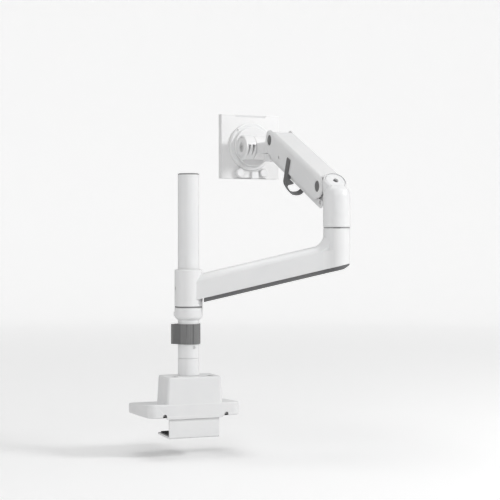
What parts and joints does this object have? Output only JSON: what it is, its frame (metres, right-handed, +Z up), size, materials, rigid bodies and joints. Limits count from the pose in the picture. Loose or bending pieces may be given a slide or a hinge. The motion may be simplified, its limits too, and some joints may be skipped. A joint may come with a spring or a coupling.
{
  "type": "monitor arm",
  "caption": "White desk-clamped monitor arm on a pole: height collar, cranked lower arm, gas-spring parallelogram arm and a tilting, turning quick-release screen plate.",
  "frame": {"origin": "on the pole's axis in the plane of the desk top, on the underside of the base's rubber pad", "axes": "+Z up along the pole, +X along the desk's edge, +Y over the desk, towards the screen"},
  "size_m": [0.3632, 0.4142, 0.5545],
  "materials": {
    "white_paint": "satin",
    "white_alloy": "satin",
    "white_plastic": "satin",
    "dark_plastic": "satin",
    "rubber": "matte",
    "chrome": "polished",
    "steel": "satin"
  },
  "bodies": {
    "base": {"base_cover": "white_plastic", "base_plate": "steel", "desk_pad": "rubber", "stub_post": "chrome", "post_ring": "white_paint", "pole": "white_paint", "pole_cap": "dark_plastic", "pole_clip": "dark_plastic", "pole_grub_screw": "steel"},
    "clamp_jaw": {"clamp_bracket": "white_paint", "clamp_pad": "rubber"},
    "clamp_screw_left": {"clamp_screw_left": "steel"},
    "clamp_screw_right": {"clamp_screw_right": "steel"},
    "collar": {"collar": "white_alloy", "collar_screw": "steel", "collar_washer": "dark_plastic"},
    "lower_arm": {"lower_arm": "white_alloy", "hub_bushing": "dark_plastic", "hub_screw": "steel", "cable_cover": "dark_plastic", "elbow_washer": "dark_plastic", "elbow_bushing": "dark_plastic"},
    "elbow": {"elbow_housing": "white_alloy", "elbow_shaft": "steel", "elbow_shaft_screw": "steel", "elbow_cap": "white_plastic", "tension_screw": "steel", "tension_block": "steel", "spring_anchor_pin": "steel"},
    "spring_arm": {"spring_arm_shell": "white_alloy", "elbow_pivot_cap_left": "dark_plastic", "elbow_pivot_cap_right": "dark_plastic", "head_pivot_cap_left": "dark_plastic", "head_pivot_cap_right": "dark_plastic", "elbow_pivot_pin": "steel", "head_pivot_pin": "steel", "gas_spring_pin": "steel", "gas_spring_cylinder": "steel", "arm_clip": "dark_plastic"},
    "gas_rod": {"gas_spring_rod": "chrome"},
    "link": {"lower_link": "white_alloy", "link_pin_rear_left": "steel", "link_pin_rear_right": "steel", "link_pin_front": "steel"},
    "head": {"head_bracket": "white_alloy"},
    "head_swivel": {"head_knuckle": "white_alloy", "swivel_bolt": "steel"},
    "head_tilt": {"tilt_bracket": "white_alloy", "tilt_bolt": "steel", "tilt_cap_left": "white_plastic", "tilt_cap_right": "white_plastic"},
    "screen_plate": {"rotation_disc": "white_alloy", "release_plate": "white_paint", "release_tab": "white_paint", "vesa_plate": "white_paint", "rotation_bolt": "steel"},
    "thumb_screw_left": {"thumb_screw_left": "white_plastic"},
    "thumb_screw_right": {"thumb_screw_right": "white_plastic"}
  },
  "joints": [
    {"name": "clamp_slide", "type": "slide", "parent": "base", "child": "clamp_jaw", "axis": [0, 0, 1], "range_m": [-0.03, 0.008]},
    {"name": "clamp_screw_left_spin", "type": "hinge", "parent": "base", "child": "clamp_screw_left", "pos_m": [-0.03, -0.018, 0.04], "axis": [0, 0, 1], "continuous": true},
    {"name": "clamp_screw_right_spin", "type": "hinge", "parent": "base", "child": "clamp_screw_right", "pos_m": [0.03, -0.018, 0.04], "axis": [0, 0, 1], "continuous": true},
    {"name": "height_slide", "type": "slide", "parent": "base", "child": "collar", "axis": [0, 0, 1], "range_m": [-0.005, 0.15]},
    {"name": "arm_swivel", "type": "hinge", "parent": "collar", "child": "lower_arm", "pos_m": [0, 0, 0.209], "axis": [0, 0, 1], "continuous": true},
    {"name": "elbow_swivel", "type": "hinge", "parent": "lower_arm", "child": "elbow", "pos_m": [0.22686, -0.08708, 0.34], "axis": [0, 0, 1], "range_deg": [-180, 30]},
    {"name": "arm_lift", "type": "hinge", "parent": "elbow", "child": "spring_arm", "pos_m": [0.22686, -0.05588, 0.376], "axis": [1, 0, 0], "range_deg": [-57, 12]},
    {"name": "link_swing", "type": "hinge", "parent": "elbow", "child": "link", "pos_m": [0.22686, -0.05588, 0.349], "axis": [1, 0, 0], "range_deg": [-57, 12]},
    {"name": "spring_stroke", "type": "slide", "parent": "spring_arm", "child": "gas_rod", "axis": [0, 0.9222, 0.3867], "range_m": [-0.004, 0.015]},
    {"name": "head_level", "type": "hinge", "parent": "spring_arm", "child": "head", "pos_m": [0.22686, 0.15641, 0.46502], "axis": [1, 0, 0], "range_deg": [-12, 57]},
    {"name": "head_swivel_turn", "type": "hinge", "parent": "head", "child": "head_swivel", "pos_m": [0.22686, 0.18841, 0.46502], "axis": [0, 0, 1], "range_deg": [-90, 85]},
    {"name": "head_tilt_turn", "type": "hinge", "parent": "head_swivel", "child": "head_tilt", "pos_m": [0.22154, 0.24918, 0.45702], "axis": [0.9962, 0.0872, 0], "range_deg": [-45, 80]},
    {"name": "plate_rotate", "type": "hinge", "parent": "head_tilt", "child": "screen_plate", "pos_m": [0.21838, 0.28534, 0.46052], "axis": [-0.0872, 0.9962, 0], "range_deg": [-180, 180]},
    {"name": "thumb_screw_left_spin", "type": "hinge", "parent": "screen_plate", "child": "thumb_screw_left", "pos_m": [0.19348, 0.28316, 0.41152], "axis": [-0.0872, 0.9962, 0], "continuous": true},
    {"name": "thumb_screw_right_spin", "type": "hinge", "parent": "screen_plate", "child": "thumb_screw_right", "pos_m": [0.24329, 0.28752, 0.41152], "axis": [-0.0872, 0.9962, 0], "continuous": true}
  ],
  "couplings": [
    {"joint": "link_swing", "follows": "arm_lift", "ratio": 1},
    {"joint": "head_level", "follows": "arm_lift", "ratio": -1},
    {"joint": "spring_stroke", "follows": "arm_lift", "m_per_rad": -0.0146}
  ]
}
